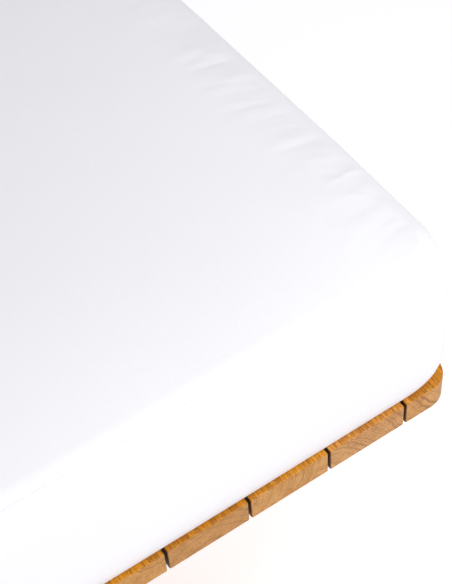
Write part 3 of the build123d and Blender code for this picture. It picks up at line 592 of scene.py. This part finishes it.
                # faint tension folds that run up from the hem near the corners
                fold = np.sin(2 * math.pi * arc / 0.011 + 2.0 * share) * near * (1 - share) ** 3
                out = out + 0.00035 * fold
            z = np.full(m, zb + h)
        else:
            ang = math.radians(value)
            z = zt - r_top + r_top * math.sin(ang) + 0 * arc
            P, N = ring_base(zt - r_top + r_top * math.sin(ang))
            out = bow - (r_top - r_top * math.cos(ang))
            if cloth:
                dip = 0.0012 * math.exp(-(((value - 45) / 1.9) ** 2)) - 0.0004 * math.exp(-(((value - 49.5) / 3.0) ** 2)) - 0.0003 * math.exp(-(((value - 40.5) / 3.0) ** 2))
                out = out - dip * math.cos(ang)
                z = z - dip * math.sin(ang)
                out = out + 0.00022 * wave * math.cos(ang)
        layers.append(np.column_stack([P + N * np.reshape(out, (-1, 1)), z]))
    # top grid by transfinite interpolation of its edge, which starts at 80 degrees of the rounding
    last_angle = math.radians(80 if cloth else 78)
    P, N = ring_base(zt)
    edge = P + N * np.reshape(bow - r_top * (1 - math.cos(last_angle)), (-1, 1))
    z_edge = zt - r_top * (1 - math.sin(last_angle))
    b, r_, t, l = edge[:nx + 1], edge[nx:nx + ny + 1], edge[nx + ny:2 * nx + ny + 1], np.concatenate([edge[2 * nx + ny:], edge[:1]])
    t, l = t[::-1], l[::-1]
    U, V = np.meshgrid(tx, ty, indexing="ij")
    G = np.zeros((nx + 1, ny + 1, 2))
    for c_ in range(2):
        B, T = b[:, c_][:, None], t[:, c_][:, None]
        L, R = l[:, c_][None, :], r_[:, c_][None, :]
        G[:, :, c_] = (1 - V) * B + V * T + (1 - U) * L + U * R - (
            (1 - U) * (1 - V) * b[0, c_] + U * (1 - V) * b[-1, c_] + (1 - U) * V * t[0, c_] + U * V * t[-1, c_]
        )
    X, Y = G[:, :, 0], G[:, :, 1]

    def shoulder(q, reach, slope):
        q = np.clip(q, 0, reach)
        return slope * reach / 3 * (1 - (1 - q / reach) ** 3)

    # inside distance from each side; the crown climbs away from all four edges
    qf, qb = Y - edge[:, 1].min(), edge[:, 1].max() - Y
    qe, qi = edge[:, 0].max() - X, X - edge[:, 0].min()
    slope = math.tan(math.radians(9.2))
    rise = [shoulder(qf, 0.125, slope), shoulder(qb, 0.125, slope), shoulder(qe, 0.060, slope), shoulder(qi, 0.045, slope)]
    full = [slope * v / 3 for v in (0.125, 0.125, 0.060, 0.045)]
    share = np.ones_like(X)
    for r_k, f_k in zip(rise, full):
        share = share * (r_k / f_k)
    Z = z_edge + full[0] * share
    if cloth:
        ease = share
        Z = Z + ease * (0.00035 * drift(X, Y) + 0.00006 * fine(X, Y))
    grid = np.stack([X, Y, Z], axis=-1)
    # vertex list: rings, then the grid's edge loop, then its inside points
    base = len(layers) * m
    index = -np.ones((nx + 1, ny + 1), int)
    loop = (
        [(i, 0) for i in range(nx)] + [(nx, j) for j in range(ny)]
        + [(i, ny) for i in range(nx, 0, -1)] + [(0, j) for j in range(ny, 0, -1)]
    )
    for k, (i, j) in enumerate(loop):
        index[i, j] = base + k
    count = base + m
    index[1:nx, 1:ny] = count + np.arange((nx - 1) * (ny - 1)).reshape(nx - 1, ny - 1)
    edge_pts = np.array([grid[i, j] for i, j in loop])
    V3 = np.vstack(layers + [edge_pts, grid[1:nx, 1:ny].reshape(-1, 3)])
    faces = []
    for k in range(len(layers)):
        lo_i, hi_i = k * m, (k + 1) * m
        for i in range(m):
            j = (i + 1) % m
            faces.append((lo_i + i, lo_i + j, hi_i + j, hi_i + i))
    for i in range(nx):
        for j in range(ny):
            faces.append((index[i, j], index[i + 1, j], index[i + 1, j + 1], index[i, j + 1]))
    if not cloth:  # close the underside of the foam
        faces.append(tuple(range(m - 1, -1, -1)))
    if creases:
        x, y, z = V3[:, 0], V3[:, 1], V3[:, 2]
        push = np.zeros(len(V3))
        g = np.random.default_rng(seed + 7)
        for xa, ya, xb, yb, width, height in creases:
            span = math.hypot(xb - xa, yb - ya)
            ux, uy = (xb - xa) / span, (yb - ya) / span
            t_ = ((x - xa) * ux + (y - ya) * uy) / span
            bend = g.uniform(-1, 1) * 0.0011 * np.sin(np.clip(t_, 0, 1) * math.pi)
            d_ = -(x - xa) * uy + (y - ya) * ux - bend
            # a steep near wall and a slack far one
            w_ = np.where(d_ < 0, width, width * 1.9)
            fade = smooth(t_, -0.25, 0.35) * (1 - smooth(t_, 0.80, 1.12))
            push += height * fade * np.exp(-(d_ / w_) ** 2 / 2)
        push *= smooth(z, zt - r_top * 1.2, zt - r_top * 0.4)
        lift = np.clip((x - (x1 - r_top)) / r_top, 0, 1)
        V3[:, 0] += push * np.sin(lift * math.pi / 2) * 0.6
        V3[:, 2] += push * np.cos(lift * math.pi / 2)
    if sgn < 0:
        V3[:, 0] *= -1
        faces = [tuple(reversed(f)) for f in faces]
    # faces down in the seam's groove, which runs round the pad half-way over the rounding; they get the darker cotton
    # as painted shade
    seam = [k * m + i for k, (value, h, tag) in enumerate(rings) if tag == "top" and 43 < value < 47 for i in range(m)]
    return V3, faces, seam


def mesh_object(name, verts, faces, material, smooth=True):
    mesh = bpy.data.meshes.new(name)
    mesh.from_pydata([tuple(v) for v in verts], [], [tuple(int(i) for i in f) for f in faces])
    mesh.update()
    mesh.validate()
    if smooth:
        mesh.polygons.foreach_set("use_smooth", [True] * len(mesh.polygons))
    mesh.materials.append(material)
    obj = bpy.data.objects.new(name, mesh)
    scene.collection.objects.link(obj)
    return obj


def more_creases(seed, start, stop, pitch, height):
    """Slight gathers of the cloth where it turns over the table's end."""
    g = np.random.default_rng(seed)
    out = []
    y = start
    while y < stop:
        y += g.uniform(0.5, 1.5) * pitch
        length, lean = g.uniform(0.010, 0.032), g.uniform(-0.35, 0.35)
        xb = 0.928 + g.uniform(-0.006, 0.003)
        out.append((xb - length, y + lean * length, xb, y, g.uniform(0.0012, 0.0022), height * g.uniform(0.4, 1.0) * (1 if g.uniform() > 0.65 else -1)))
    return out


def gathers(seed, start, stop, pitch, height):
    """Broad soft folds between the creases, where the cloth is drawn down over the end."""
    g = np.random.default_rng(seed)
    out = []
    y, sign = start, -1
    while y < stop:
        y += g.uniform(0.7, 1.4) * pitch
        length, lean = g.uniform(0.026, 0.046), g.uniform(-0.30, 0.05)
        xb = 0.934 + g.uniform(-0.004, 0.002)
        out.append((xb - length, y + lean * length, xb, y, g.uniform(0.0030, 0.0044), sign * height * g.uniform(0.5, 1.0)))
        sign = -sign if g.uniform() > 0.25 else sign
    return out


tx = graded(110, 0.34, 0.085)
# the columns are close together where the fine puckers lie, wider elsewhere
ty_right = np.concatenate([
    np.linspace(0, 0.020, 8)[:-1], np.linspace(0.020, 0.375, 196)[:-1], np.linspace(0.375, 0.985, 150)[:-1], np.linspace(0.985, 1, 6),
])
ty_left = np.concatenate([np.linspace(0, 0.02, 8)[:-1], np.linspace(0.02, 0.98, 260)[:-1], np.linspace(0.98, 1, 8)])
for side in ("left", "right"):
    if side == "right":
        ty, list_p, seed = ty_right, CREASES + more_creases(3, -0.318, -0.110, 0.0065, 0.00022) + more_creases(5, -0.105, 0.315, 0.016, 0.00030) + gathers(12, -0.318, 0.315, 0.011, 0.00034), 31
    else:
        ty, list_p, seed = ty_left, more_creases(9, -0.325, 0.315, 0.015, 0.00032) + gathers(19, -0.318, 0.315, 0.013, 0.00034), 67
    v, f, seam_shade_faces = pad_shape(side, True, tx, ty, 0.0, seed, list_p)
    cover = mesh_object(f"{side}_cotton_cover", v, f, cotton_mat)
    # the groove's faces take the darker cotton: painted shade
    cover.data.materials.append(seam_shade_mat)
    for k in seam_shade_faces:
        cover.data.polygons[k].material_index = 1
    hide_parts(f"{side}_fitted_cover")
    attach(cover, f"{side}_half")
    # the foam core: its top, sides and a closed underside, a little inside the cover
    v, f, _ = pad_shape(side, False, np.linspace(0, 1, 61), np.linspace(0, 1, 47), 0.0022, 5, None)
    core = mesh_object(f"{side}_foam_core", v, f, foam_mat)
    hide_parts(f"{side}_foam_pad")
    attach(core, f"{side}_half")


# ------------------------------------------------------------------ stage
def floor_material():
    m = Mat("studio_floor")
    obj, _ = m.coords()
    faint = m.noise(obj, 1.5, 2.0)
    m.link(m.mix(faint, (0.86, 0.86, 0.865), (0.88, 0.88, 0.885)), m.bsdf.inputs["Base Color"])
    m.bsdf.inputs["Roughness"].default_value = 0.9
    m.bsdf.inputs["Specular IOR Level"].default_value = 0.1
    m.bsdf.inputs["Emission Color"].default_value = (1, 1, 1, 1)
    m.bsdf.inputs["Emission Strength"].default_value = 0.46
    return m.mat


v = [(-90, -90, -0.0004), (90, -90, -0.0004), (90, 90, -0.0004), (-90, 90, -0.0004)]
floor = mesh_object("studio_floor", v, [(0, 1, 2, 3)], floor_material(), smooth=False)


def backdrop():
    """A far pale dome, seen by the camera only, so that low views have no dark horizon."""
    b = bmesh.new()
    bmesh.ops.create_uvsphere(b, u_segments=64, v_segments=32, radius=35.0)
    bmesh.ops.reverse_faces(b, faces=b.faces)
    mesh = bpy.data.meshes.new("studio_backdrop")
    b.to_mesh(mesh)
    b.free()
    mesh.polygons.foreach_set("use_smooth", [True] * len(mesh.polygons))
    m = Mat("studio_backdrop")
    obj, _ = m.coords()
    tone = m.noise(m.scaled(obj, 0.02, 0.02, 0.02), 1.0, 1.0)
    m.link(m.mix(tone, (0.845, 0.845, 0.875), (0.860, 0.860, 0.885)), m.bsdf.inputs["Emission Color"])
    m.bsdf.inputs["Base Color"].default_value = (0, 0, 0, 1)
    m.bsdf.inputs["Roughness"].default_value = 1.0
    m.bsdf.inputs["Specular IOR Level"].default_value = 0.0
    m.bsdf.inputs["Emission Strength"].default_value = 1.0
    mesh.materials.append(m.mat)
    o = bpy.data.objects.new("studio_backdrop", mesh)
    o.visible_diffuse = o.visible_glossy = o.visible_transmission = o.visible_volume_scatter = o.visible_shadow = False
    scene.collection.objects.link(o)


backdrop()


def area(name, at, look, size, power, colour=(1, 1, 1)):
    lamp = bpy.data.lights.new(name, "AREA")
    lamp.shape = "RECTANGLE"
    lamp.size, lamp.size_y = size
    lamp.energy = power
    lamp.color = colour
    o = bpy.data.objects.new(name, lamp)
    o.location = at
    o.rotation_euler = (Vector(look) - Vector(at)).to_track_quat("-Z", "Y").to_euler()
    o.visible_camera = False
    scene.collection.objects.link(o)
    return o


area("key_near", (1.10, -0.85, 1.45), (0.84, -0.24, 0.58), (0.6, 0.45), 7.2, (1.0, 0.992, 0.955))
area("key_near_left", (-0.95, -0.90, 1.40), (-0.80, -0.24, 0.58), (0.6, 0.45), 7.2, (1.0, 0.992, 0.955))
area("front", (0.6, -3.4, 1.3), (0.5, 0, 0.5), (3.0, 2.0), 13.2, (1.0, 0.985, 0.965))
area("soft_top", (0.3, 0.3, 3.6), (0.2, 0, 0.5), (3.2, 3.2), 4.5, (0.98, 0.98, 1.0))

world = bpy.data.worlds.new("studio")
scene.world = world
world.use_nodes = True
world.node_tree.nodes["Background"].inputs[0].default_value = (0.928, 0.930, 1.0, 1)
world.node_tree.nodes["Background"].inputs[1].default_value = 0.495

scene.view_settings.view_transform = "Standard"
scene.view_settings.look = "None"
scene.view_settings.exposure = 0.0
scene.view_settings.gamma = 1.0
